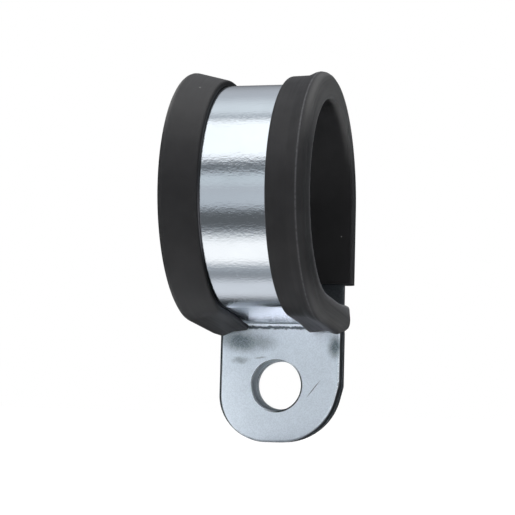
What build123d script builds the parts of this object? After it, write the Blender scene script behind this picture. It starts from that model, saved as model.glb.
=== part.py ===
from build123d import *

import os
from math import acos, cos, degrees, radians, sin

# Cushioned clamp: a bent steel strap with a black rubber cushion pushed over it. It holds a cable or
# pipe in its round bore and is fixed by one screw through the two legs below the loop.
# Sizes are in millimetres. +X runs along the cable, +Y points at the mounting surface, +Z is up.

# Cable bore and the cushion that lines it
bore_radius = 11.7
cushion_base = 0.8
cushion_side = 1.1
lip_thickness = 1.05
lip_reach = 3.6
lip_rise = 0.2
lip_flat = 2.4
bead_height = 1.75
bead_inset = 0.45
bead_rounding = 0.4
rim_bevel = 0.25
lip_bevel = 0.4
valley_rounding = 1.6

# Steel strap
strap_width = 15.0
strap_thickness = 1.0
edge_bevel = 0.12
flattening = 0.08
knee_tightening = 3.5
underside_slope = 5.3
bend_inner_radius = 0.8
leg_gap = 1.35

# Legs and the screw holes
hole_below_bend = 6.95
hole_offset = 0.4
front_hole_radius = 3.2
back_hole_radius = 3.0
left_corner_radius = 6.2
right_corner_radius = 7.2
right_corner_inset = 0.2

# Where the cushion's two cut ends are on the strap
back_end_drop = 9.3
front_end_to_bend = 1.1

# Radii of the strap round the bore, taken from the cushion that it carries
half_strap = strap_thickness / 2
loop_radius = bore_radius + cushion_base + half_strap
knee_radius = loop_radius - knee_tightening
bend_radius = bend_inner_radius + half_strap

# The back leg is tangent to the loop, and the front leg lies in front of it with a small gap
back_leg_y = loop_radius
front_leg_y = back_leg_y - strap_thickness - leg_gap
mounting_face_y = back_leg_y + half_strap

# Low in front the loop tightens into a knee, and a straight underside slopes from it down to the bend
slope = radians(underside_slope)
knee_turn = degrees(acos(1 - flattening / knee_tightening))
loop_end = 270 - underside_slope - knee_turn
knee_centre = (knee_tightening * cos(radians(loop_end)), knee_tightening * sin(radians(loop_end)))
underside_start = (knee_centre[0] - knee_radius * sin(slope), knee_centre[1] - knee_radius * cos(slope))
bend_start_y = front_leg_y - bend_radius * (1 - sin(slope))
underside_run = (bend_start_y - underside_start[0]) / cos(slope)
bend_centre_y = front_leg_y - bend_radius
bend_centre_z = underside_start[1] - underside_run * sin(slope) - bend_radius * cos(slope)

# The screw hole and the round end of each leg hang from the bend
hole_drop = hole_below_bend - bend_centre_z
leg_below_hole = strap_width / 2 - hole_offset
leg_bottom = -hole_drop - leg_below_hole

# The round end is slightly lopsided: the left corner is tighter and the right one cuts the edge at an angle
left_corner_x = left_corner_radius - strap_width / 2
right_corner_x = strap_width / 2 - right_corner_inset - right_corner_radius

# The screw axis at the mounting face is the origin of the finished part
screw_frame = Location((hole_offset, -mounting_face_y, hole_drop))


def centre_line(back_start, front_back_off):
    """Middle line of the strap seen along the cable, from the back leg over the loop to the underside."""
    run = underside_run - front_back_off
    underside_end = (underside_start[0] + run * cos(slope), underside_start[1] - run * sin(slope))
    return [
        Line((back_leg_y, back_start), (back_leg_y, 0)),
        CenterArc((0, 0), loop_radius, 0, loop_end),
        CenterArc(knee_centre, knee_radius, loop_end, knee_turn),
        Line(underside_start, underside_end),
    ]


def bend_and_front_leg():
    """The tight bend off the underside and the straight front leg below it."""
    bend_centre = (bend_centre_y, bend_centre_z)
    return [
        CenterArc(bend_centre, bend_radius, 90 - underside_slope, underside_slope - 90),
        Line((front_leg_y, bend_centre_z), (front_leg_y, leg_bottom)),
    ]


def screw_hole(radius, leg_y):
    """A punched hole through one leg."""
    return Pos(-hole_offset, leg_y, -hole_drop) * Rot(90, 0, 0) * Cylinder(radius, strap_thickness * 1.5)


def make_steel_strap():
    """One strip with the side profile of the clamp, cut to the outline of the punched blank."""
    profile = Plane.YZ * Wire(Curve() + centre_line(leg_bottom, 0) + bend_and_front_leg())
    strip_section = Plane(
        origin=(0, back_leg_y, leg_bottom), x_dir=(1, 0, 0), z_dir=(0, 0, 1)
    ) * Rectangle(strap_width, strap_thickness)
    strip = sweep(strip_section, path=profile)

    # Seen from the front, the blank is the strip's width down to the holes and a round end below them
    top = mounting_face_y * 2
    body_outline = Pos(0, (top - hole_drop) / 2) * Rectangle(strap_width, top + hole_drop)
    left_corner = Pos(left_corner_x, leg_bottom + left_corner_radius) * Circle(left_corner_radius)
    right_corner = Pos(right_corner_x, leg_bottom + right_corner_radius) * Circle(right_corner_radius)
    outline = make_hull(body_outline.edges() + left_corner.edges() + right_corner.edges())
    blank = extrude(Plane.XZ * outline, amount=mounting_face_y * 2, both=True)
    strap = strip & blank
    # Shearing and tumbling break every outer edge of the strip
    strap = chamfer(strap.edges(), edge_bevel)
    return strap - screw_hole(front_hole_radius, front_leg_y) - screw_hole(back_hole_radius, back_leg_y)


def make_rubber_cushion():
    """A C-shaped rubber section swept along the strap, with its lips folded over the strap's edges."""
    path = Plane.YZ * Wire(Curve() + centre_line(-back_end_drop, front_end_to_bend))

    half_width = strap_width / 2 + cushion_side
    inside = -half_strap - cushion_base
    bead_x = half_width - bead_inset
    lip_end_x = strap_width / 2 - lip_reach
    lip_top = half_strap + lip_thickness
    half_outline = Polyline(
        (0, inside),
        (half_width, inside),
        (bead_x, half_strap + bead_height),
        (lip_end_x + lip_flat, lip_top + lip_rise),
        (lip_end_x, lip_top),
        (lip_end_x, half_strap),
        (strap_width / 2, half_strap),
        (strap_width / 2, -half_strap),
        (0, -half_strap),
        close=True,
    )
    half = make_face(half_outline)

    def corner(x, y):
        return half.vertices().sort_by_distance((x, y, 0))[0]

    half = chamfer(corner(half_width, inside), rim_bevel)
    half = fillet(corner(bead_x, half_strap + bead_height), bead_rounding)
    half = fillet(corner(lip_end_x + lip_flat, lip_top + lip_rise), valley_rounding)
    half = chamfer(corner(lip_end_x, lip_top), lip_bevel)
    section = half + mirror(half, about=Plane.YZ)
    start = Plane(origin=(0, back_leg_y, -back_end_drop), x_dir=(1, 0, 0), z_dir=(0, 0, 1))
    return sweep(start * section, path=path)


os.makedirs("parts", exist_ok=True)
for name, solid in {
    "steel_strap": make_steel_strap(),
    "rubber_cushion": make_rubber_cushion(),
}.items():
    export_step(screw_frame * solid, f"parts/{name}.step")
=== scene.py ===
import math

import bmesh
import bpy
from mathutils import Matrix, Vector


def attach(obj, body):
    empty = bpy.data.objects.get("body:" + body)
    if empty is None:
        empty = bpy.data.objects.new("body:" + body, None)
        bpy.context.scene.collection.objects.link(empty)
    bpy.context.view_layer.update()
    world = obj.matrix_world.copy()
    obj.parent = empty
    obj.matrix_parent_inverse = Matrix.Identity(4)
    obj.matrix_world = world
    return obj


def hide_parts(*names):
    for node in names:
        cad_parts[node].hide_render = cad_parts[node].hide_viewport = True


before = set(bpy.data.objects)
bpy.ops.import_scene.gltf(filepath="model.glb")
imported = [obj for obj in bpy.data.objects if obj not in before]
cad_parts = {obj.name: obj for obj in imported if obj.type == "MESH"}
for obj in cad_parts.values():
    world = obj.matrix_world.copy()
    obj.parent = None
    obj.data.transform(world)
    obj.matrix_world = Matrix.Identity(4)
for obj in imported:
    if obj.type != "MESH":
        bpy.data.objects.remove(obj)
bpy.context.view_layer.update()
print("stage 1: packed clamp loaded, nodes", sorted(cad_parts))

# Everything below is worked out in millimetres from the middle of the cable bore,
# +X along the cable, +Y to the mounting surface, +Z up, and put in the row's frame at the end.
clampLine = {
    "boreRadius": 11.7,
    "cushionBase": 0.8,
    "stripThickness": 1.0,
    "stripWidth": 15.0,
    "kneeTightening": 3.5,     # the loop is this much tighter low in front
    "flattening": 0.08,
    "undersideSlope": 5.3,     # degrees, falling to the bend
    "bendInnerRadius": 0.35,   # tighter than the CAD's 0.8, as the photographed crease is sharp
    "legGap": 1.35,
    "holeBelowBend": 7.36,     # below the bend's middle, which a tighter bend puts higher
    "holeOffset": 0.4,         # the holes lie this far to the left of the strip's middle
    "leftCornerRadius": 5.8,   # the legs' round ends are slightly lopsided
    "rightCornerRadius": 7.2,
    "rightCornerInset": 0.2,
}


def srgb(hexColour):
    channels = [int(hexColour[i:i + 2], 16) / 255 for i in (0, 2, 4)]
    return [c / 12.92 if c <= 0.04045 else ((c + 0.055) / 1.055) ** 2.4 for c in channels] + [1.0]


def addNode(tree, kind, settings=None, inputs=None):
    # a value given as (node, output name) is linked, anything else is set on the socket
    node = tree.nodes.new(kind)
    for name, value in (settings or {}).items():
        setattr(node, name, value)
    for name, value in (inputs or {}).items():
        if isinstance(value, tuple) and hasattr(value[0], "outputs"):
            tree.links.new(value[0].outputs[value[1]], node.inputs[name])
        else:
            node.inputs[name].default_value = value
    return node


def mathNode(tree, operation, a, b=0.0, c=0.0):
    # one step of arithmetic, given back as a link
    return addNode(tree, "ShaderNodeMath", {"operation": operation}, {0: a, 1: b, 2: c}), "Value"


def rangeNode(tree, value, start, end, low, high, smooth=True):
    # goes from low to high while the value goes from start to end, with soft ends if smooth
    kind = "SMOOTHSTEP" if smooth else "LINEAR"
    return addNode(tree, "ShaderNodeMapRange", {"interpolation_type": kind}, {
        "Value": value, "From Min": start, "From Max": end, "To Min": low, "To Max": high}), "Result"


def mixNode(tree, share, under, over):
    # one colour laid over another, each a hex value or a link
    under, over = (srgb(colour) if isinstance(colour, str) else colour for colour in (under, over))
    return addNode(tree, "ShaderNodeMix", {"data_type": "RGBA"}, {0: share, 6: under, 7: over}), 2


def vectorNode(tree, operation, a, b=(0.0, 0.0, 0.0)):
    output = "Value" if operation in ("LENGTH", "DISTANCE", "DOT_PRODUCT") else "Vector"
    return addNode(tree, "ShaderNodeVectorMath", {"operation": operation}, {0: a, 1: b}), output


def noiseNode(tree, vector, scale, detail, roughness=0.5):
    return addNode(tree, "ShaderNodeTexNoise", {}, {
        "Vector": vector, "Scale": scale, "Detail": detail, "Roughness": roughness}), "Fac"


def bumpNode(tree, depth, height, over=None):
    # relief that is depth metres deep, on top of another one if that is given
    relief = addNode(tree, "ShaderNodeBump", {}, {"Strength": 1.0, "Distance": depth, "Height": height})
    if over:
        tree.links.new(over[0].outputs[over[1]], relief.inputs["Normal"])
    return relief, "Normal"


def newMaterial(name):
    material = bpy.data.materials.new(name)
    material.use_nodes = True
    material.node_tree.nodes.clear()
    return material, material.node_tree


def bentSegments():
    # straight runs and arcs of the strip's middle line, from the back leg's lower end to the front one's;
    # the same sums give where the row's frame lies, which is added to clampLine
    c = clampLine
    half = c["stripThickness"] / 2
    loopRadius = c["boreRadius"] + c["cushionBase"] + half
    kneeRadius = loopRadius - c["kneeTightening"]
    bendRadius = c["bendInnerRadius"] + half
    frontLegY = loopRadius - c["stripThickness"] - c["legGap"]
    slope = math.radians(c["undersideSlope"])
    kneeTurn = math.acos(1 - c["flattening"] / c["kneeTightening"])
    loopEnd = math.radians(270) - slope - kneeTurn
    kneeCentre = (c["kneeTightening"] * math.cos(loopEnd), c["kneeTightening"] * math.sin(loopEnd))
    runStart = (kneeCentre[0] - kneeRadius * math.sin(slope), kneeCentre[1] - kneeRadius * math.cos(slope))
    run = (frontLegY - bendRadius * (1 - math.sin(slope)) - runStart[0]) / math.cos(slope)
    bendCentre = (frontLegY - bendRadius, runStart[1] - run * math.sin(slope) - bendRadius * math.cos(slope))
    holeDrop = c["holeBelowBend"] - bendCentre[1]
    legBottom = -holeDrop - (c["stripWidth"] / 2 - c["holeOffset"])
    c["holeDrop"] = holeDrop
    c["mountingFaceY"] = loopRadius + half
    return [
        ("run", (loopRadius, legBottom), (0.0, 1.0), -legBottom),
        ("arc", (0.0, 0.0), loopRadius, 0.0, loopEnd),
        ("arc", kneeCentre, kneeRadius, loopEnd, kneeTurn),
        ("run", runStart, (math.cos(slope), -math.sin(slope)), run),
        ("arc", bendCentre, bendRadius, math.pi / 2 - slope, slope - math.pi / 2),
        ("run", (frontLegY, bendCentre[1]), (0.0, -1.0), bendCentre[1] - legBottom),
    ]


segments = bentSegments()
segmentLengths = [s[3] if s[0] == "run" else s[2] * abs(s[4]) for s in segments]
stripLength = sum(segmentLengths)


def lineAt(distance):
    # point of the middle line and its outward normal, both as (y, z)
    for segment, length in zip(segments, segmentLengths):
        if distance <= length or segment is segments[-1]:
            break
        distance -= length
    if segment[0] == "run":
        (y, z), (ty, tz) = segment[1], segment[2]
        return (y + ty * distance, z + tz * distance), (tz, -ty)
    (cy, cz), radius, start, turn = segment[1:]
    side = 1.0 if turn > 0 else -1.0
    angle = start + side * distance / radius
    across, up = math.cos(angle), math.sin(angle)
    return (cy + radius * across, cz + radius * up), (side * across, side * up)


def stationsBetween(first, last, straightStep, turnStep):
    # distances along the line, close together where it turns
    found, start = {round(first, 5), round(last, 5)}, 0.0
    for segment, length in zip(segments, segmentLengths):
        step = straightStep if segment[0] == "run" else segment[2] * math.radians(turnStep)
        count = max(1, math.ceil(length / step))
        for i in range(count + 1):
            at = start + length * i / count
            if first + 0.02 < at < last - 0.02:
                found.add(round(at, 5))
        start += length
    return sorted(found)


def inRowFrame(x, y, z):
    c = clampLine
    return Vector((x + c["holeOffset"], y - c["mountingFaceY"], z + c["holeDrop"])) / 1000


def asPlainMesh(obj, name):
    # the evaluated shape becomes the object's own mesh and its modifiers go
    bpy.context.view_layer.update()
    mesh = bpy.data.meshes.new_from_object(obj.evaluated_get(bpy.context.evaluated_depsgraph_get()))
    obj.modifiers.clear()
    obj.data = mesh
    mesh.name = name
    return obj


def finishPiece(obj, materials, node):
    kept = [face.material_index for face in obj.data.polygons]
    obj.data.materials.clear()
    for material in materials:
        obj.data.materials.append(material)
    for face, index in zip(obj.data.polygons, kept):
        face.material_index = min(index, len(materials) - 1)
    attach(obj, "root")
    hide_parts(node)
    print("  ", obj.name, len(obj.data.polygons), "faces")


# Zinc-plated steel: cold-rolled strip, punched, bent and barrel plated. The eye gets a soft mirror with a
# cool grey tint, broad reflections with ragged edges from the rolled grain, and satin legs that rubbed on
# others in the barrel, with a few rubbed marks and nicks, and a dark patch of painted reflection of the
# rubber.
zinc = {
    "colour": "dde4ea",
    "dullColour": "97a2ab",
    "roughness": 0.085,
    "satinColour": "eaf4fd",
    "satinRoughness": 0.30,
    "satinShare": 0.22,      # how much of the legs' plating scatters instead of mirroring
    "grainLength": 0.50,     # mm, along the cable
    "grainWidth": 0.30,      # mm
    "grainDepth": 0.016,     # mm
    "pitSize": 0.15,         # mm
    "pitDepth": 0.006,       # mm
    # dark patches: painted reflection of the rubber above, and rubbed marks
    "markAndPaintedLightColour": "5f6d72",
    # painted shade in the bend's crease
    "creaseShadeColour": "3c474e",
    # painted dark reflection and shade on the edges and the hole's rim
    "edgeShadeAndReflection": "1c2227",
    "specks": "39424a",
    "legsTop": (0.0077, 0.0080),      # m up, where the satin of the front leg ends in the bend
    "backFade": (0.004, 0.016),       # m up, where the satin of the back leg fades out
    "backSatin": 0.6,                 # and how strong it is there
    "creaseHeight": 0.0074,           # m up, 0.4 mm below the bend
    "betweenLegs": (-0.0028, -0.0011),   # m along Y: the front leg lies in front of both, the back one behind
}
# Dark patches on the front leg: a broad one just under the bend on the left, which is painted reflection of
# the dark rubber above, a darker one at the right edge, and rubbed marks.
# Each has its middle and half size in mm from the hole, its turn in degrees, raggedness in mm and strength.
rubberReflectionAndMarks = [
    ((-4.6, 5.4), (4.0, 1.9), 5, 0.5, 0.95),
    ((-2.2, 5.3), (3.3, 1.5), 4, 0.5, 0.6),
    ((7.5, 4.9), (1.25, 2.0), 8, 0.5, 1.0),
    ((-4.7, 3.0), (1.6, 0.65), 0, 0.8, 0.55),
    ((-2.1, 3.35), (1.0, 0.16), -4, 0.25, 0.6),
]


def softSpot(tree, coordinates, centre, size, turn, wobble):
    # 1 in the middle of a ragged oval on the front leg and 0 outside it. It is worked out round its own
    # middle, so it can be moved and turned like a sticker.
    frontFace = -(clampLine["legGap"] + 2 * clampLine["stripThickness"])
    ragged = noiseNode(tree, coordinates, 1000 / 0.9, 3.0)[0]
    shift = addNode(tree, "ShaderNodeVectorMath", {"operation": "MULTIPLY_ADD"}, {
        0: (ragged, "Color"), 1: (wobble / 1000,) * 3, 2: (-wobble / 2000,) * 3})
    moved = vectorNode(tree, "ADD", coordinates, (shift, "Vector"))
    placed = addNode(tree, "ShaderNodeMapping", {"vector_type": "TEXTURE"}, {
        "Vector": moved,
        "Location": (centre[0] / 1000, frontFace / 1000, centre[1] / 1000),
        "Rotation": (0.0, math.radians(turn), 0.0),
        "Scale": (size[0] / 1000, 0.0012, size[1] / 1000)})
    return addNode(tree, "ShaderNodeTexGradient", {"gradient_type": "SPHERICAL"}, {
        "Vector": (placed, "Vector")}), "Fac"


def makeZincPlatedSteel():
    material, tree = newMaterial("zincPlatedSteel")
    place = addNode(tree, "ShaderNodeTexCoord")
    here = (place, "Object")

    # rolled grain, drawn out along the cable
    drawn = addNode(tree, "ShaderNodeMapping", {}, {
        "Vector": here,
        "Scale": (1000 / zinc["grainLength"], 1000 / zinc["grainWidth"], 1000 / zinc["grainWidth"])})
    grain = noiseNode(tree, (drawn, "Vector"), 1.0, 4.0, 0.6)
    pits = noiseNode(tree, here, 1000 / zinc["pitSize"], 2.0, 0.5)
    grainBump = bumpNode(tree, zinc["grainDepth"] / 1000, grain)
    pitBump = bumpNode(tree, zinc["pitDepth"] / 1000, pits, grainBump)

    # 1 on the legs' faces and in the bend, and 0 on the strap's underside, the loop and the rolled edges
    height = addNode(tree, "ShaderNodeSeparateXYZ", {}, {"Vector": here})
    onLegs = rangeNode(tree, (height, "Z"), *zinc["legsTop"], 1.0, 0.0)
    onBack = mathNode(tree, "GREATER_THAN", (height, "Y"), zinc["betweenLegs"][1])
    upBack = rangeNode(tree, (height, "Z"), *zinc["backFade"], zinc["backSatin"], 0.0)
    onBoth = addNode(tree, "ShaderNodeMix", {"data_type": "FLOAT"}, {0: onBack, 2: onLegs, 3: upBack})
    surface = addNode(tree, "ShaderNodeNewGeometry")
    facing = addNode(tree, "ShaderNodeSeparateXYZ", {}, {"Vector": (surface, "Normal")})
    onEdge = mathNode(tree, "ABSOLUTE", (facing, "X"))
    turned = mathNode(tree, "MULTIPLY_ADD", (facing, "Z"), -1.0, -0.45)
    turnedAway = mathNode(tree, "MAXIMUM", onEdge, turned)
    onFace = rangeNode(tree, turnedAway, 0.2, 0.5, 1.0, 0.0)
    satin = mathNode(tree, "MULTIPLY", (onBoth, 0), onFace)

    # cloudy plating, in patches of about 4 mm, with a fine mottle
    clouds = noiseNode(tree, here, 1000 / 4.0, 3.0, 0.55)
    cloudy = rangeNode(tree, clouds, 0.3, 0.7, 0.0, 0.08, smooth=False)
    mottled = rangeNode(tree, pits, 0.35, 0.65, 0.0, 0.2, smooth=False)
    uneven = mathNode(tree, "MULTIPLY_ADD", mottled, satin, cloudy)
    finish = mixNode(tree, satin, zinc["colour"], zinc["satinColour"])
    plated = mixNode(tree, uneven, finish, zinc["dullColour"])

    # painted reflection of the dark rubber just under the bend, and rubbed marks lower down
    marksAndPaintedLight = 0.0
    for centre, size, turn, wobble, depth in rubberReflectionAndMarks:
        spot = softSpot(tree, here, centre, size, turn, wobble)
        marksAndPaintedLight = mathNode(tree, "MAXIMUM", marksAndPaintedLight, rangeNode(tree, spot, 0.0, 0.85, 0.0, depth))
    grainy = rangeNode(tree, pits, 0.35, 0.65, 0.78, 1.0, smooth=False)
    marksAndPaintedLightShare = mathNode(tree, "MULTIPLY", marksAndPaintedLight, grainy)
    markAndPaintedLightColour = mixNode(tree, marksAndPaintedLightShare, plated, zinc["markAndPaintedLightColour"])

    # painted shade in the crease across the front leg, as a dark ragged line
    jagged = mathNode(tree, "MULTIPLY_ADD", grain, 0.0005, (height, "Z"))
    fromCrease = mathNode(tree, "SUBTRACT", jagged, zinc["creaseHeight"])
    offCrease = mathNode(tree, "ABSOLUTE", fromCrease)
    inCreaseShade = rangeNode(tree, offCrease, 0.0001, 0.00024, 0.9, 0.0, smooth=False)
    inFront = mathNode(tree, "LESS_THAN", (height, "Y"), zinc["betweenLegs"][0])
    creaseShaded = mathNode(tree, "MULTIPLY", inCreaseShade, inFront)
    creaseShadedColour = mixNode(tree, creaseShaded, markAndPaintedLightColour, zinc["creaseShadeColour"])

    # one fine scratch beside the hole and a few dark specks of about 0.15 mm
    scratch = softSpot(tree, here, (4.8, -0.4), (1.6, 0.08), -52, 0.12)
    scratched = rangeNode(tree, scratch, 0.05, 0.5, 0.0, 0.75, smooth=False)
    cells = addNode(tree, "ShaderNodeTexVoronoi", {}, {"Vector": here, "Scale": 1000 / 3.4})
    speck = rangeNode(tree, (cells, "Distance"), 0.015, 0.04, 0.4, 0.0, smooth=False)
    marks = mathNode(tree, "MAXIMUM", scratched, speck)
    marked = mixNode(tree, marks, creaseShadedColour, zinc["specks"])
    # painted dark reflection and shade on the back leg's rolled edge, along the legs' left outline and on the
    # hole's rim at its right and lower side, where the plating is also made duller and rougher
    backTurn = mathNode(tree, "MULTIPLY", onBack, onEdge)
    backEdge = rangeNode(tree, backTurn, 0.08, 0.3, 0.0, 1.0)
    corner = clampLine["leftCornerRadius"]
    middle = (corner - clampLine["stripWidth"] / 2 + clampLine["holeOffset"]) / 1000
    reachLeft = corner + strap["leftSpread"]
    reachDown = corner + strap["rolledEdge"]
    fromCorner = vectorNode(tree, "SUBTRACT", here, (middle, 0.0, middle))
    outward = vectorNode(tree, "MULTIPLY", fromCorner, (-1000 / reachLeft, 0.0, -1000 / reachDown))
    lowerLeft = vectorNode(tree, "MAXIMUM", outward, (0.0, 0.0, 0.0))
    reach = vectorNode(tree, "LENGTH", lowerLeft)
    leftEdge = rangeNode(tree, reach, 0.932, 0.955, 0.0, 1.0)
    belowBend = mathNode(tree, "LESS_THAN", (height, "Z"), 0.007)
    leftSide = mathNode(tree, "MULTIPLY", leftEdge, belowBend)
    flat = vectorNode(tree, "MULTIPLY", here, (1.0, 0.0, 1.0))
    away = vectorNode(tree, "LENGTH", flat)
    onRim = rangeNode(tree, away, 0.00334, 0.00345, 1.0, 0.0)
    lowRight = vectorNode(tree, "DOT_PRODUCT", here, (250.0, 0.0, -160.0))
    lowRightRim = addNode(tree, "ShaderNodeMath", {"operation": "MULTIPLY", "use_clamp": True}, {
        0: lowRight, 1: 1.6})
    rimSide = mathNode(tree, "MULTIPLY", onRim, (lowRightRim, "Value"))
    edges = mathNode(tree, "MAXIMUM", backEdge, leftSide)
    edgeShadeAndReflection = mathNode(tree, "MAXIMUM", edges, rimSide)
    edgeShadeAndReflectionColour = mixNode(tree, edgeShadeAndReflection, marked, zinc["edgeShadeAndReflection"])

    plain = zinc["roughness"]
    rough = rangeNode(tree, clouds, 0.3, 0.7, plain - 0.02, plain + 0.04, smooth=False)
    rougher = mathNode(tree, "MULTIPLY_ADD", satin, zinc["satinRoughness"] - plain, rough)
    roughest = mathNode(tree, "MULTIPLY_ADD", edgeShadeAndReflection, 0.4, rougher)
    plating = mathNode(tree, "MULTIPLY_ADD", satin, -zinc["satinShare"], 1.0)
    mirror = mathNode(tree, "MULTIPLY_ADD", edgeShadeAndReflection, -0.7, plating)
    shader = addNode(tree, "ShaderNodeBsdfPrincipled", {}, {
        "Base Color": edgeShadeAndReflectionColour, "Metallic": mirror, "Roughness": roughest, "Normal": pitBump})
    addNode(tree, "ShaderNodeOutputMaterial", {}, {"Surface": (shader, "BSDF")})
    return material


# The cut side of the same strip, and its inner face: sheared and only thinly plated. The eye gets a dark
# slate grey with a rough surface, paler on the holes' punched walls.
sheared = {
    "colour": "70757a",
    "darkColour": "454a4e",
    "sideColour": "1d2226",
    "wallColour": "aab4bb",
    "roughness": 0.42,
    "tearSize": 0.25,          # mm
    "tearDepth": 0.006,        # mm
}


def makeShearedSteel():
    material, tree = newMaterial("shearedSteel")
    place = addNode(tree, "ShaderNodeTexCoord")
    torn = noiseNode(tree, (place, "Object"), 1000 / sheared["tearSize"], 4.0, 0.6)
    patchy = mixNode(tree, torn, sheared["colour"], sheared["darkColour"])
    # 1 on the holes' walls: their axis is the X-Z origin
    flat = vectorNode(tree, "MULTIPLY", (place, "Object"), (1.0, 0.0, 1.0))
    away = vectorNode(tree, "LENGTH", flat)
    wall = rangeNode(tree, away, 0.0038, 0.0042, 1.0, 0.0, smooth=False)
    surface = addNode(tree, "ShaderNodeNewGeometry")
    facing = addNode(tree, "ShaderNodeSeparateXYZ", {}, {"Vector": (surface, "Normal")})
    onSide = mathNode(tree, "ABSOLUTE", (facing, "Y"))
    side = rangeNode(tree, onSide, 0.2, 0.7, 0.85, 0.0)
    sides = mixNode(tree, side, patchy, sheared["sideColour"])
    walled = mixNode(tree, wall, sides, sheared["wallColour"])
    metal = rangeNode(tree, wall, 0.0, 1.0, 0.9, 0.5, smooth=False)
    relief = bumpNode(tree, sheared["tearDepth"] / 1000, torn)
    plain = sheared["roughness"]
    rough = rangeNode(tree, torn, 0.0, 1.0, plain - 0.08, plain + 0.08, smooth=False)
    shader = addNode(tree, "ShaderNodeBsdfPrincipled", {}, {
        "Base Color": walled, "Metallic": metal, "Roughness": rough, "Normal": relief})
    addNode(tree, "ShaderNodeOutputMaterial", {}, {"Surface": (shader, "BSDF")})
    return material


# The steel strap: a punched blank drawn flat, bent along the line and thickened. The punch rolls the edge of
# the outer face over and leaves the inner one nearly sharp.
strap = {
    "columns": 24,
    "turnStep": 1.5,         # degrees of loop for each row of faces
    "straightStep": 0.6,     # mm
    "frontHoleRadius": 3.2,
    "backHoleRadius": 3.0,
    "holeJoin": 5.0,         # mm above the hole, where its round mesh meets the strip's
    "leftSpread": 0.22,      # mm that the bend has spread the legs to the left
    "rightSpread": 0.10,     # and to the right
    "rolledEdge": 0.36,      # mm
    "holeEdge": 0.15,
    "sharpEdge": 0.07,
}


def legOutline():
    # round the leg from the strip's full width, as (x from the strip's middle, distance below the hole)
    c, join = clampLine, strap["holeJoin"]
    half, bottom = c["stripWidth"] / 2, c["stripWidth"] / 2 - c["holeOffset"]
    left, right = c["leftCornerRadius"], c["rightCornerRadius"]
    leftX, leftDown = left - half, bottom - left
    rightX, rightDown = half - c["rightCornerInset"] - right, bottom - right
    # a straight run leaves the strip's right edge at the hole's height and touches the right corner's circle
    reach = math.hypot(half - rightX, rightDown)
    touch = math.atan2(-rightDown, half - rightX) + math.acos(right / reach)
    touchPoint = (rightX + right * math.cos(touch), rightDown + right * math.sin(touch))
    columns = strap["columns"]
    points = [(-half + 2 * half * i / columns, -join) for i in range(columns)]
    points += [(half, -join + join * i / 8) for i in range(8)]
    points += [(half + (touchPoint[0] - half) * i / 4, touchPoint[1] * i / 4) for i in range(4)]
    sweep = math.pi / 2 - touch
    for i in range(28):
        angle = touch + sweep * i / 28
        points.append((rightX + right * math.cos(angle), rightDown + right * math.sin(angle)))
    points += [(rightX + (leftX - rightX) * i / 4, bottom) for i in range(4)]
    for i in range(28):
        angle = math.pi / 2 * i / 28
        points.append((leftX - left * math.sin(angle), leftDown + left * math.cos(angle)))
    points += [(-half, leftDown - (leftDown + join) * i / 9) for i in range(9)]
    return points


def spreadLeg(x, distance):
    # the legs are a little wider than the strip: the bend has spread them
    half = clampLine["stripWidth"] / 2
    legLength = segmentLengths[5]
    fromEnd = min(distance, stripLength - distance)
    share = min(1.0, max(0.0, (legLength + 0.4 - fromEnd) / 1.2)) * max(0.0, abs(x) / half * 2 - 1)
    return x + share * (strap["rightSpread"] if x > 0 else -strap["leftSpread"])


def legFaces(holeRadius):
    # rings of points from the hole out to the outline, as (x, distance below the hole)
    outline, offset = legOutline(), clampLine["holeOffset"]
    rings = []
    for share in (0.0, 0.06, 0.18, 0.36, 0.56, 0.76, 0.92, 1.0):
        ring = []
        for x, down in outline:
            away = math.hypot(x + offset, down)
            rim = (-offset + (x + offset) / away * holeRadius, down / away * holeRadius)
            ring.append((rim[0] + (x - rim[0]) * share, rim[1] + (down - rim[1]) * share))
        rings.append(ring)
    count = len(outline)
    return [[rings[r][i], rings[r][(i + 1) % count], rings[r + 1][(i + 1) % count], rings[r + 1][i]]
            for r in range(len(rings) - 1) for i in range(count)]


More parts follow.
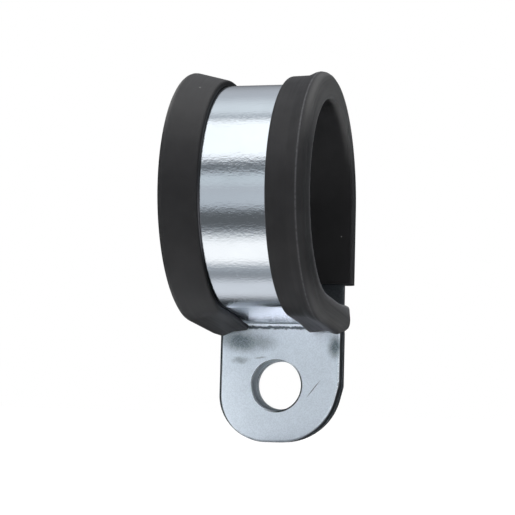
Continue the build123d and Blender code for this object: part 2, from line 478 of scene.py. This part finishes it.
def makeSteelStrap():
    half, join = clampLine["stripWidth"] / 2, strap["holeJoin"]
    backHole = half - clampLine["holeOffset"]
    frontHole = stripLength - backHole
    flat = [[(x, backHole - down) for x, down in face] for face in legFaces(strap["backHoleRadius"])]
    flat += [[(x, frontHole + down) for x, down in face] for face in legFaces(strap["frontHoleRadius"])]
    rows = stationsBetween(backHole + join, frontHole - join, strap["straightStep"], strap["turnStep"])
    columns = [-half + 2 * half * i / strap["columns"] for i in range(strap["columns"] + 1)]
    for low, high in zip(rows, rows[1:]):
        flat += [[(a, low), (a, high), (b, high), (b, low)] for a, b in zip(columns, columns[1:])]

    made, known = bmesh.new(), {}
    for face in flat:
        area = sum(face[i - 1][0] * face[i][1] - face[i][0] * face[i - 1][1] for i in range(len(face)))
        corners = []
        for x, distance in (face if area < 0 else reversed(face)):
            key = (round(x, 4), round(distance, 4))
            if key not in known:
                (y, z), _ = lineAt(distance)
                known[key] = made.verts.new(inRowFrame(spreadLeg(x, distance), y, z))
            corners.append(known[key])
        if len(set(corners)) == len(corners):
            made.faces.new(corners)
    mesh = bpy.data.meshes.new("steelStrap")
    made.to_mesh(mesh)
    made.free()
    obj = bpy.data.objects.new("steelStrap", mesh)
    bpy.context.scene.collection.objects.link(obj)
    for name in ("outerFace", "innerFace", "cutSide"):
        mesh.materials.append(bpy.data.materials.new(name))
    thick = obj.modifiers.new("stripThickness", "SOLIDIFY")
    thick.thickness, thick.offset, thick.use_even_offset = clampLine["stripThickness"] / 1000, 0.0, True
    thick.material_offset, thick.material_offset_rim = 1, 2
    asPlainMesh(obj, "steelStrap")

    shape = bmesh.new()
    shape.from_mesh(obj.data)
    crown = max((f for f in shape.faces if f.material_index < 2), key=lambda f: f.calc_center_median().z)
    weight = shape.edges.layers.float.new("bevel_weight_edge")
    for edge in shape.edges:
        kinds = {f.material_index for f in edge.link_faces}
        if len(kinds) == 2 and 2 in kinds:
            spot = edge.verts[0].co
            width = strap["holeEdge"] if math.hypot(spot.x, spot.z) < 0.0036 else strap["rolledEdge"]
            if crown.material_index not in kinds:
                width = strap["sharpEdge"]
            edge[weight] = width / strap["rolledEdge"]
    for face in shape.faces:
        face.material_index = 0 if face.material_index == crown.material_index else 1
    shape.to_mesh(obj.data)
    shape.free()
    edges = obj.modifiers.new("cutEdges", "BEVEL")
    edges.width, edges.segments, edges.limit_method = strap["rolledEdge"] / 1000, 4, "WEIGHT"
    edges.material = 0
    asPlainMesh(obj, "steelStrap")
    obj.data.shade_smooth()
    even = obj.modifiers.new("evenShading", "WEIGHTED_NORMAL")
    even.keep_sharp, even.weight = False, 50
    return asPlainMesh(obj, "steelStrap")


finishPiece(makeSteelStrap(), [makeZincPlatedSteel(), makeShearedSteel()], "steel_strap")
print("stage 2: steel strap bent and plated")


# where the rubber's faces and edges lie in its section, in mm from the middle of the strip
section = {
    "halfStrip": clampLine["stripWidth"] / 2,
    "face": clampLine["stripThickness"] / 2,
    "inside": -clampLine["stripThickness"] / 2 - clampLine["cushionBase"],
    "halfWidth": clampLine["stripWidth"] / 2 + 1.07,
    "lipEnd": clampLine["stripWidth"] / 2 - 3.6,
    "crestLine": (7.62, 2.02),
    "sidePoints": (0.08, 0.14, 0.20, 0.26, 0.32, 0.38, 0.44, 0.50, 0.56, 0.60),   # shares of the way up
}

# EPDM rubber: extruded in a straight length and cut off square. The eye gets a dull black that goes grey in
# the light, painted light on the sides over the top of the loop and at the knee, a thin painted highlight
# along the bore's rim and the right bead's crest, painted shade under the lips' free edges, and a little
# dust.
rubber = {
    "colour": "1a1a1b",
    "paleColour": "272728",
    # painted light on the sides over the top of the loop and at the knee
    "sideLightColour": "404040",
    "leftLipLightShare": 0.23,      # how much of that the left lip takes
    # painted highlight along the bore's rim and the right bead's crest
    "markAndPaintedLightColour": "85868a",
    "shadowColour": "0c0c0d",
    "roughness": 0.5,
    "shine": 0.12,             # weak, as the skin is dusted with talc
    "dragLength": 12.0,        # mm along a drag line, and its width and depth
    "dragWidth": 0.30,
    "dragDepth": 0.0010,
    "skinSize": 0.13,          # mm, finer than this wouldn't show
    "skinDepth": 0.0030,       # mm
    "dust": "b9bab8",
}


def makeEpdmRubber():
    material, tree = newMaterial("epdmRubber")
    place = addNode(tree, "ShaderNodeTexCoord")
    here = (place, "Object")
    along = addNode(tree, "ShaderNodeAttribute", {"attribute_name": "alongMm"})
    outward = addNode(tree, "ShaderNodeAttribute", {"attribute_name": "outMm"})
    sideways = addNode(tree, "ShaderNodeSeparateXYZ", {}, {"Vector": here})
    across = mathNode(tree, "MULTIPLY_ADD", (sideways, "X"), 1000.0, -clampLine["holeOffset"])
    fromMiddle = mathNode(tree, "ABSOLUTE", across)

    def nearLine(x, y, core, fade):
        # 1 on a line along the extrusion through that point of the section, 0 a little away from it, in mm
        point = addNode(tree, "ShaderNodeCombineXYZ", {}, {"X": fromMiddle, "Y": (outward, "Fac")})
        away = vectorNode(tree, "DISTANCE", (point, "Vector"), (x, y, 0.0))
        return rangeNode(tree, away, core, fade, 1.0, 0.0)

    # drag lines run along the extrusion
    lines = addNode(tree, "ShaderNodeCombineXYZ", {}, {
        "X": (along, "Fac"), "Y": across, "Z": (outward, "Fac")})
    drawn = addNode(tree, "ShaderNodeMapping", {}, {
        "Vector": (lines, "Vector"),
        "Scale": (1 / rubber["dragLength"], 1 / rubber["dragWidth"], 1 / rubber["dragWidth"])})
    drag = noiseNode(tree, (drawn, "Vector"), 1.0, 3.0, 0.6)
    skin = noiseNode(tree, here, 1000 / rubber["skinSize"], 2.0, 0.6)
    dragBump = bumpNode(tree, rubber["dragDepth"] / 1000, drag)
    skinBump = bumpNode(tree, rubber["skinDepth"] / 1000, skin, dragBump)

    # bloom: the surface is a little paler in soft patches of about 5 mm
    bloom = noiseNode(tree, here, 1000 / 5.0, 4.0, 0.6)
    bloomed = rangeNode(tree, bloom, 0.35, 0.75, 0.0, 0.45, smooth=False)
    body = mixNode(tree, bloomed, rubber["colour"], rubber["paleColour"])
    # painted light: the sides, and the left lip a little, are paler over the top of the loop and at the knee
    fromLevel = mathNode(tree, "SUBTRACT", (sideways, "Z"), 0.0196)
    offLevel = mathNode(tree, "ABSOLUTE", fromLevel)
    litAboveAndBelow = rangeNode(tree, offLevel, 0.006, 0.0135, 0.0, 1.0)
    onSides = rangeNode(tree, fromMiddle, 7.6, 8.3, 0.0, 1.0)
    onRight = mathNode(tree, "GREATER_THAN", across, 0.0)
    leftLipLit = mathNode(tree, "MULTIPLY_ADD", onRight, -rubber["leftLipLightShare"], rubber["leftLipLightShare"])
    litPlaces = mathNode(tree, "MAXIMUM", onSides, leftLipLit)
    paintedSideLight = mathNode(tree, "MULTIPLY", litAboveAndBelow, litPlaces)
    sideLit = mixNode(tree, paintedSideLight, body, rubber["sideLightColour"])
    # painted highlight lines, broken up every 0.4 mm or so, and painted shade in the crease under the lips'
    # free edges
    broken = noiseNode(tree, here, 1000 / 0.4, 3.0)
    patchy = rangeNode(tree, broken, 0.3, 0.62, 0.25, 1.0, smooth=False)
    lineX, lineY = section["crestLine"]
    # the painted highlight on the rim runs from the loop's top round to the front
    frontHalf = rangeNode(tree, (along, "Fac"), 28.0, 52.0, 0.0, 1.0)
    rim = mathNode(tree, "MULTIPLY", nearLine(section["halfWidth"], section["inside"], 0.12, 0.34), frontHalf)
    crest = mathNode(tree, "MULTIPLY", nearLine(lineX, lineY, 0.02, 0.17), onRight)
    besideRim = rangeNode(tree, (outward, "Fac"), section["inside"], section["inside"] + 1.1, 0.5, 0.0)
    onFlatSide = rangeNode(tree, fromMiddle, 8.36, 8.46, 0.0, 1.0, smooth=False)
    sideBand = mathNode(tree, "MULTIPLY", besideRim, onFlatSide)
    rimBand = mathNode(tree, "MULTIPLY", sideBand, frontHalf)
    wholeRim = mathNode(tree, "MAXIMUM", rim, rimBand)
    fainter = mathNode(tree, "MULTIPLY", crest, 0.36)
    marksAndPaintedLight = mathNode(tree, "MAXIMUM", wholeRim, fainter)
    marksAndPaintedLightShare = mathNode(tree, "MULTIPLY", marksAndPaintedLight, patchy)
    softer = mathNode(tree, "MULTIPLY", marksAndPaintedLightShare, 0.55)
    edged = mixNode(tree, softer, sideLit, rubber["markAndPaintedLightColour"])
    # painted shade in the crease under the lips' free edges
    lipCreaseShade = nearLine(section["lipEnd"], section["face"], 0.35, 0.75)
    creaseShaded = mixNode(tree, lipCreaseShade, edged, rubber["shadowColour"])
    cells = addNode(tree, "ShaderNodeTexVoronoi", {}, {"Vector": here, "Scale": 1000 / 3.6})
    dust = rangeNode(tree, (cells, "Distance"), 0.012, 0.03, 0.35, 0.0, smooth=False)
    dusty = mixNode(tree, dust, creaseShaded, rubber["dust"])
    plain = rubber["roughness"]
    rough = rangeNode(tree, drag, 0.3, 0.7, plain - 0.05, plain + 0.06, smooth=False)
    shader = addNode(tree, "ShaderNodeBsdfPrincipled", {}, {
        "Base Color": dusty, "Metallic": 0.0, "IOR": 1.5, "Specular IOR Level": rubber["shine"],
        "Roughness": rough, "Normal": skinBump})
    addNode(tree, "ShaderNodeOutputMaterial", {}, {"Surface": (shader, "BSDF")})
    return material


# The rubber cushion: one section swept along the strip, wrapped round its edges, and cut off at both ends.
# The left lip is a plain wedge, and the right one has a shallow valley inside its bead.
cushion = {
    "Side Thickness": 1.07,
    "Left Bead Inset": 0.16,
    "Left Bead Height": 1.815,
    "Left Bead Rounding": 0.62,
    "Left Lip Thickness": 0.66,
    "Left Middle Height": 1.17,
    "Left Middle Reach": 2.0,
    "Right Bead Inset": 0.05,
    "Right Bead Height": 1.945,
    "Right Bead Rounding": 1.0,
    "Right Lip Thickness": 0.95,
    "Right Middle Height": 1.02,
    "Right Middle Reach": 2.4,
    "Lip Reach": 3.6,
    "Rim Rounding": 0.22,
    "Valley Rounding": 1.3,
    "Lip Rounding": 0.35,
    "Lip Lift": 0.3,         # the lips' free edges stand off the steel at the front cut end
    "Lift Length": 6.5,
    "End Push": 3.0,         # the bend has squeezed the front cut end out into a round nose on both sides
    "Push Length": 7.0,
    "Left Pinch": 0.5,       # the left bead's end is also drawn in
    "Lining Rise": 0.5,      # and its lining stands up
    "Corner Steps": 5,
}
cushionEnds = {
    "backEndDrop": 9.3,        # mm from the loop's middle down to the back cut end
    "frontEndToBend": 1.1,     # mm from the front cut end to the bend
    "turnStep": 1.4,           # degrees of loop for each row of faces
    "straightStep": 0.4,       # mm
    "cutRounding": 0.1,        # mm
}
# what happens at the front cut end, as a move along the line and the share of it that the section takes
cushionMoves = {
    "lipLift": "lipShare",
    "endPush": "bulgeShare",
    "liningLift": "liningShare",
    "pinch": "pinchShare",
}


def makeCushionTree(material):
    tree = bpy.data.node_groups.new("cushionSection", "GeometryNodeTree")
    tree.interface.new_socket("Geometry", in_out="INPUT", socket_type="NodeSocketGeometry")
    for name, value in cushion.items():
        kind = "NodeSocketInt" if isinstance(value, int) else "NodeSocketFloat"
        tree.interface.new_socket(name, in_out="INPUT", socket_type=kind)
    tree.interface.new_socket("Geometry", in_out="OUTPUT", socket_type="NodeSocketGeometry")
    given = addNode(tree, "NodeGroupInput")

    def calc(operation, a, b=0.0, c=0.0):
        return mathNode(tree, operation, a, b, c)

    def eased(value, start, end, low, high):
        return rangeNode(tree, value, start, end, low, high)

    def scaled(vector, amount):
        node = addNode(tree, "ShaderNodeVectorMath", {"operation": "SCALE"}, {0: vector, "Scale": amount})
        return node, "Vector"

    def kept(geometry, name, value, kind="FLOAT"):
        node = addNode(tree, "GeometryNodeStoreNamedAttribute", {"data_type": kind}, {
            "Geometry": geometry, "Name": name, "Value": value})
        return node, "Geometry"

    def recalled(name, kind="FLOAT"):
        node = addNode(tree, "GeometryNodeInputNamedAttribute", {"data_type": kind}, {"Name": name})
        return node, "Attribute"

    half, face, inside = section["halfStrip"], section["face"], section["inside"]

    def sideCorners(side):
        # corners of one side of the section as (x from the strip's middle, y outward from it, rounding)
        halfWidth = calc("ADD", (given, "Side Thickness"), half)
        lipEnd = calc("SUBTRACT", half, (given, "Lip Reach"))
        inset = (given, side + " Bead Inset")
        beadHeight = calc("ADD", (given, side + " Bead Height"), face)
        middleX = calc("ADD", lipEnd, (given, side + " Middle Reach"))
        middleY = calc("ADD", (given, side + " Middle Height"), face)
        # the flat side gets points of its own, which the squeezed end needs
        rise = calc("SUBTRACT", beadHeight, inside)
        onSide = [
            (calc("MULTIPLY_ADD", inset, -share, halfWidth), calc("MULTIPLY_ADD", rise, share, inside), 0.0)
            for share in section["sidePoints"]]
        return [(halfWidth, inside, (given, "Rim Rounding"))] + onSide + [
            (calc("SUBTRACT", halfWidth, inset), beadHeight, (given, side + " Bead Rounding")),
            (middleX, middleY, (given, "Valley Rounding")),
            (lipEnd, calc("ADD", (given, side + " Lip Thickness"), face), (given, "Lip Rounding")),
            (lipEnd, face + 0.01, 0.12),
            (half, face + 0.01, 0.02),
            (half, -face, 0.02),
        ]

    corners = sideCorners("Right")
    corners += [(calc("MULTIPLY", x, -1.0), y, size) for x, y, size in reversed(sideCorners("Left"))]
    line = addNode(tree, "GeometryNodeMeshLine", {}, {"Count": len(corners)})
    index = addNode(tree, "GeometryNodeInputIndex")
    places = addNode(tree, "GeometryNodeIndexSwitch", {"data_type": "VECTOR"}, {"Index": (index, "Index")})
    sizes = addNode(tree, "GeometryNodeIndexSwitch", {"data_type": "FLOAT"}, {"Index": (index, "Index")})
    for i, (x, y, rounding) in enumerate(corners):
        if i > 1:
            places.index_switch_items.new()
            sizes.index_switch_items.new()
        point = addNode(tree, "ShaderNodeCombineXYZ", {}, {"X": x, "Y": y})
        tree.links.new(point.outputs["Vector"], places.inputs[i + 1])
        tree.links.new(calc("ADD", rounding)[0].outputs["Value"], sizes.inputs[i + 1])
    drawn = addNode(tree, "GeometryNodeSetPosition", {}, {
        "Geometry": (line, "Mesh"), "Position": (places, "Output")})
    sized = kept((drawn, "Geometry"), "cornerSize", (sizes, "Output"))
    outline = addNode(tree, "GeometryNodeMeshToCurve", {}, {"Mesh": sized})
    closed = addNode(tree, "GeometryNodeSetSplineCyclic", {}, {
        "Geometry": (outline, "Curve"), "Cyclic": True})
    rounded = addNode(tree, "GeometryNodeFilletCurve", {"mode": "POLY"}, {
        "Curve": (closed, "Geometry"), "Count": (given, "Corner Steps"), "Radius": recalled("cornerSize"),
        "Limit Radius": True})

    # how far out a point of the section is, and how much it takes of what happens at the front cut end
    position = addNode(tree, "GeometryNodeInputPosition")
    split = addNode(tree, "ShaderNodeSeparateXYZ", {}, {"Vector": (position, "Position")})
    fromRoot = calc("SUBTRACT", half - 0.5, calc("ABSOLUTE", (split, "X")))
    onOutside = calc("GREATER_THAN", (split, "Y"), face - 0.01)
    lipShare = calc("MULTIPLY", eased(fromRoot, 0.0, 3.1, 0.0, 1.0), onOutside)
    # the nose is fullest beside the strip, lower on the right than on the left, and the lips by it stay back
    onLeft = calc("LESS_THAN", (split, "X"), 0.0)
    noseAt = calc("MULTIPLY_ADD", onLeft, 1.1, -0.1)
    under = calc("LESS_THAN", (split, "Y"), noseAt)
    noseHalf = calc("ADD", calc("MULTIPLY_ADD", onLeft, 0.9, 1.75), calc("MULTIPLY", under, 0.2))
    fromNose = calc("DIVIDE", calc("SUBTRACT", (split, "Y"), noseAt), noseHalf)
    nose = calc("MAXIMUM", calc("SUBTRACT", 1.0, calc("POWER", calc("ABSOLUTE", fromNose), 2.1)), 0.0)
    beside = eased(calc("ABSOLUTE", (split, "X")), 7.0, 8.2, 0.15, 1.0)
    free = calc("MAXIMUM", beside, calc("LESS_THAN", (split, "Y"), -face + 0.05))
    bulgeShare = calc("MULTIPLY", nose, free)
    liningShare = eased((split, "Y"), inside, -0.75, 1.0, 0.0)
    pinchShare = calc("MULTIPLY", calc("MULTIPLY", onLeft, beside), eased((split, "Y"), 0.0, 1.6, 0.0, 1.0))
    profile = (rounded, "Curve")
    for name, value in (("outMm", (split, "Y")), ("lipShare", lipShare), ("bulgeShare", bulgeShare),
                        ("liningShare", liningShare), ("pinchShare", pinchShare)):
        profile = kept(profile, name, value)

    # the strip's middle line, which the object's own points give
    path = addNode(tree, "GeometryNodeMeshToCurve", {}, {"Mesh": (given, "Geometry")})
    travelled = addNode(tree, "GeometryNodeSplineParameter")
    tangent = addNode(tree, "GeometryNodeInputTangent")
    outward = vectorNode(tree, "CROSS_PRODUCT", (tangent, "Tangent"), (1.0, 0.0, 0.0))
    length = addNode(tree, "GeometryNodeCurveLength", {}, {"Curve": (path, "Curve")})
    toEnd = calc("SUBTRACT", (length, "Length"), (travelled, "Length"))
    spine = kept((path, "Curve"), "alongMm", (travelled, "Length"))
    lift = eased(toEnd, 0.0, (given, "Lift Length"), (given, "Lip Lift"), 0.0)
    push = eased(toEnd, 0.0, (given, "Push Length"), (given, "End Push"), 0.0)
    sink = calc("MULTIPLY", eased(toEnd, 0.0, 5.0, (given, "Lining Rise"), 0.0), -1.0)
    squeeze = eased(toEnd, 0.0, 2.5, (given, "Left Pinch"), 0.0)
    for name, way, amount in (("lipLift", outward, lift), ("endPush", (tangent, "Tangent"), push),
                              ("liningLift", outward, sink), ("pinch", (1.0, 0.0, 0.0), squeeze)):
        spine = kept(spine, name, scaled(way, amount), "FLOAT_VECTOR")

    swept = addNode(tree, "GeometryNodeCurveToMesh", {}, {
        "Curve": spine, "Profile Curve": profile, "Fill Caps": True})
    offset = (0.0, 0.0, 0.0)
    for move, share in cushionMoves.items():
        offset = vectorNode(tree, "ADD", offset, scaled(recalled(move, "FLOAT_VECTOR"), recalled(share)))
    joined = addNode(tree, "GeometryNodeMergeByDistance", {}, {
        "Geometry": (swept, "Mesh"), "Distance": 0.002})
    opened = addNode(tree, "GeometryNodeSetPosition", {}, {
        "Geometry": (joined, "Geometry"), "Offset": offset})
    real = addNode(tree, "GeometryNodeRealizeInstances", {}, {"Geometry": (opened, "Geometry")})
    painted = addNode(tree, "GeometryNodeSetMaterial", {}, {
        "Geometry": (real, "Geometry"), "Material": material})
    addNode(tree, "NodeGroupOutput", {}, {"Geometry": (painted, "Geometry")})
    return tree


def makeRubberCushion(material):
    c = cushionEnds
    first = segmentLengths[0] - c["backEndDrop"]
    last = sum(segmentLengths[:4]) - c["frontEndToBend"]
    points = [lineAt(d)[0] for d in stationsBetween(first, last, c["straightStep"], c["turnStep"])]
    mesh = bpy.data.meshes.new("rubberCushion")
    mesh.from_pydata([(0.0, y, z) for y, z in points], [(i, i + 1) for i in range(len(points) - 1)], [])
    obj = bpy.data.objects.new("rubberCushion", mesh)
    bpy.context.scene.collection.objects.link(obj)
    sweep = obj.modifiers.new("cushionSection", "NODES")
    tree = makeCushionTree(material)
    sweep.node_group = tree
    for item in tree.interface.items_tree:
        if item.in_out == "INPUT" and item.name in cushion:
            sweep[item.identifier] = cushion[item.name]
    cut = obj.modifiers.new("cutEdges", "BEVEL")
    cut.width, cut.segments, cut.limit_method = c["cutRounding"], 2, "ANGLE"
    cut.angle_limit = math.radians(60)
    asPlainMesh(obj, "rubberCushion")

    shape = bmesh.new()
    shape.from_mesh(obj.data)
    for vertex in shape.verts:
        vertex.co = inRowFrame(*vertex.co)
    bmesh.ops.recalc_face_normals(shape, faces=shape.faces)
    print("   cushion volume in mm3", round(shape.calc_volume(signed=True) * 1e9, 1))
    shape.to_mesh(obj.data)
    shape.free()
    for name in ["cornerSize", *cushionMoves, *cushionMoves.values()]:
        if name in obj.data.attributes:
            obj.data.attributes.remove(obj.data.attributes[name])
    obj.data.shade_smooth()
    even = obj.modifiers.new("evenShading", "WEIGHTED_NORMAL")
    even.keep_sharp, even.weight = False, 50
    return asPlainMesh(obj, "rubberCushion")


epdm = makeEpdmRubber()
finishPiece(makeRubberCushion(epdm), [epdm], "rubber_cushion")
print("stage 3: rubber cushion swept along the strap")


# Studio: a pale floor, a white surround, one large soft lamp above, one in front and one to the right. What
# the steel mirrors of it is set apart, as a few sheets and flags laid along the clamp.
studio = {
    "floorBelowHole": 7.1,     # mm: the legs' round ends stand on it
    "floorColour": "f2f3f4",
    "surroundLight": 0.18,
    "frontWall": "abadb2",     # mirrored where no band of the surround is
    "paleFloor": "b0b4b9",     # mirrored where no band of the floor is
    "footShade": "1e2023",     # mirrored from the legs' foot, where the sheet doesn't reach
    "lamps": {                 # power in watts, place and size in metres
        "topLamp": (24.0, (-0.25, -0.25, 0.78), 0.7),
        "frontLamp": (0.5, (-0.55, -0.75, 0.25), 0.6),
        "rightLamp": (1.5, (0.70, -0.40, 0.45), 0.5),
    },
}
# Each band is where it starts to show, is full, starts to fade and is gone, and its colour. In the surround
# these are degrees round the clamp's X axis: 0 is level in front and 90 overhead.
surroundBands = {
    "darkRoomBelow": (-260, -200, -170, -60, "36383a"),
    "darkRoomBehind": (120, 180, 220, 260, "36383a"),
    "frontCard": (0, 12, 14, 23, "bec4c8"),
    "ceilingSheet": (70, 86, 96, 122, "cfd3d6"),
    "lampSheet": (29, 37, 74, 82, "ffffff"),
    "darkFlag": (15, 25, 25, 34, "55595c"),
    "lampRim": (78, 82, 85, 88, "9ea1a6"),
}
# On the floor they are mm in front of the mounting face, and the first is the clamp's own shade.
floorBands = {
    "ownShade": (-400, -300, 12, 34, "35373a"),
    "greyCard": (0, 11, 17, 23, "c9cace"),
    "darkTableEdge": (40, 65, 88, 138, "585a5c"),
    "whiteSheet": (26, 32, 40, 56, "fcf9f7"),
}
# The strap's underside mirrors the floor once more, off the leg: the shade at its foot and a white sheet.
footBands = {"whiteSheet": (28, 45, 1000, 1100, "fdf8ff")}


def layBands(tree, value, base, bands):
    # a ground colour with the bands laid over it one after another
    colour = base
    for start, full, fading, gone, shade in bands.values():
        shown = mathNode(tree, "MULTIPLY", rangeNode(tree, value, start, full, 0.0, 1.0),
                         rangeNode(tree, value, fading, gone, 1.0, 0.0))
        colour = mixNode(tree, shown, colour, shade)
    return colour


def makeFloor():
    mesh = bpy.data.meshes.new("floor")
    level = -studio["floorBelowHole"] / 1000
    mesh.from_pydata([(-3, -3, level), (3, -3, level), (3, 3, level), (-3, 3, level)], [], [(0, 1, 2, 3)])
    floor = bpy.data.objects.new("floor", mesh)
    bpy.context.scene.collection.objects.link(floor)
    material, tree = newMaterial("paleFloor")
    matt = addNode(tree, "ShaderNodeBsdfDiffuse", {}, {"Color": srgb(studio["floorColour"])})
    white = addNode(tree, "ShaderNodeEmission", {}, {"Color": (1.0, 1.0, 1.0, 1.0), "Strength": 1.04})
    place = addNode(tree, "ShaderNodeTexCoord")
    parts = addNode(tree, "ShaderNodeSeparateXYZ", {}, {"Vector": (place, "Object")})
    inFront = mathNode(tree, "MULTIPLY", (parts, "Y"), -1000.0)
    bands = layBands(tree, inFront, studio["paleFloor"], floorBands)
    sheet = layBands(tree, inFront, studio["footShade"], footBands)
    seen = addNode(tree, "ShaderNodeLightPath")
    twice = mathNode(tree, "GREATER_THAN", (seen, "Ray Depth"), 1.5)
    shownFloor = mixNode(tree, twice, bands, sheet)
    strength = mathNode(tree, "MULTIPLY_ADD", twice, 0.85, 1.35)
    mirrored = addNode(tree, "ShaderNodeEmission", {}, {"Color": shownFloor, "Strength": strength})
    share = mathNode(tree, "MULTIPLY", (seen, "Is Camera Ray"), 0.95)
    pale = addNode(tree, "ShaderNodeMixShader", {}, {0: share, 1: (matt, "BSDF"), 2: (white, "Emission")})
    both = addNode(tree, "ShaderNodeMixShader", {}, {
        0: (seen, "Is Glossy Ray"), 1: (pale, "Shader"), 2: (mirrored, "Emission")})
    addNode(tree, "ShaderNodeOutputMaterial", {}, {"Surface": (both, "Shader")})
    mesh.materials.append(material)
    return floor


def makeSurround():
    world = bpy.data.worlds.new("studioSurround")
    bpy.context.scene.world = world
    world.use_nodes = True
    tree = world.node_tree
    tree.nodes.clear()
    direction = addNode(tree, "ShaderNodeTexCoord")
    parts = addNode(tree, "ShaderNodeSeparateXYZ", {}, {"Vector": (direction, "Generated")})
    forward = mathNode(tree, "MULTIPLY", (parts, "Y"), -1.0)
    angle = mathNode(tree, "ARCTAN2", (parts, "Z"), forward)
    degrees = mathNode(tree, "MULTIPLY", angle, 180 / math.pi)
    bands = layBands(tree, degrees, studio["frontWall"], surroundBands)
    # a black flag on the left darkens the legs' rolled left edge, and a pale sheet is on the right
    flagged = rangeNode(tree, (parts, "X"), -0.75, -0.45, 0.1, 1.35)
    lifted = rangeNode(tree, (parts, "X"), 0.4, 0.7, 0.0, 0.8)
    sided = mixNode(tree, lifted, bands, "dfe3e6")
    mirrored = addNode(tree, "ShaderNodeBackground", {}, {"Color": sided, "Strength": flagged})
    plain = addNode(tree, "ShaderNodeBackground", {}, {
        "Color": (1.0, 1.0, 1.0, 1.0), "Strength": studio["surroundLight"]})
    white = addNode(tree, "ShaderNodeBackground", {}, {"Color": (1.0, 1.0, 1.0, 1.0), "Strength": 1.0})
    seen = addNode(tree, "ShaderNodeLightPath")
    lit = addNode(tree, "ShaderNodeMixShader", {}, {
        0: (seen, "Is Glossy Ray"), 1: (plain, "Background"), 2: (mirrored, "Background")})
    direct = mathNode(tree, "MAXIMUM", (seen, "Is Camera Ray"), (seen, "Is Transmission Ray"))
    shown = addNode(tree, "ShaderNodeMixShader", {}, {
        0: direct, 1: (lit, "Shader"), 2: (white, "Background")})
    addNode(tree, "ShaderNodeOutputWorld", {}, {"Surface": (shown, "Shader")})


def addLamp(name, power, place, size):
    data = bpy.data.lights.new(name, "AREA")
    data.energy, data.size = power, size
    lamp = bpy.data.objects.new(name, data)
    bpy.context.scene.collection.objects.link(lamp)
    lamp.location = place
    aim = Vector((0.0, -0.0135, 0.018)) - Vector(place)
    lamp.rotation_euler = aim.to_track_quat("-Z", "Y").to_euler()
    lamp.visible_glossy = False   # the bands of the surround stand for the lamps in the steel
    return lamp


makeFloor()
makeSurround()
for lampName, facts in studio["lamps"].items():
    addLamp(lampName, *facts)
print("stage 4: floor, surround and lamps")


# Camera fitted to the photograph's edges: it stands 20 cm off, 15 degrees to the right of the clamp's front,
# just above the legs' lower ends, and looks up a little.
view = {
    "azimuth": 14.9955,          # degrees
    "elevation": -5.2289,
    "roll": 1.5113,
    "distance": 200.0,           # mm from the camera to the aim's plane
    "aim": (-0.6308, -7.0715),   # mm across and up from the middle of the bore
    "pixelsPerMm": 8.3446,       # at that distance, in a frame of 515 pixels
}


def makeCamera():
    turn, rise, roll = (math.radians(view[k]) for k in ("azimuth", "elevation", "roll"))
    right = Vector((math.cos(turn), math.sin(turn), 0.0))
    back = Vector((math.sin(turn) * math.cos(rise), -math.cos(turn) * math.cos(rise), math.sin(rise)))
    up = back.cross(right)
    across = math.cos(roll) * right + math.sin(roll) * up
    upward = -math.sin(roll) * right + math.cos(roll) * up
    place = view["distance"] * back + view["aim"][0] * across + view["aim"][1] * upward
    data = bpy.data.cameras.new("photoCamera")
    data.sensor_width = 36.0
    data.lens = view["pixelsPerMm"] * view["distance"] * data.sensor_width / 515
    data.clip_start = 0.01
    camera = bpy.data.objects.new("photoCamera", data)
    bpy.context.scene.collection.objects.link(camera)
    aimed = Matrix((across, upward, back)).transposed().to_4x4()
    camera.matrix_world = Matrix.Translation(inRowFrame(*place)) @ aimed
    bpy.context.scene.camera = camera


makeCamera()
bpy.context.scene.view_settings.view_transform = "Standard"
print("stage 5: camera")

bpy.context.view_layer.update()
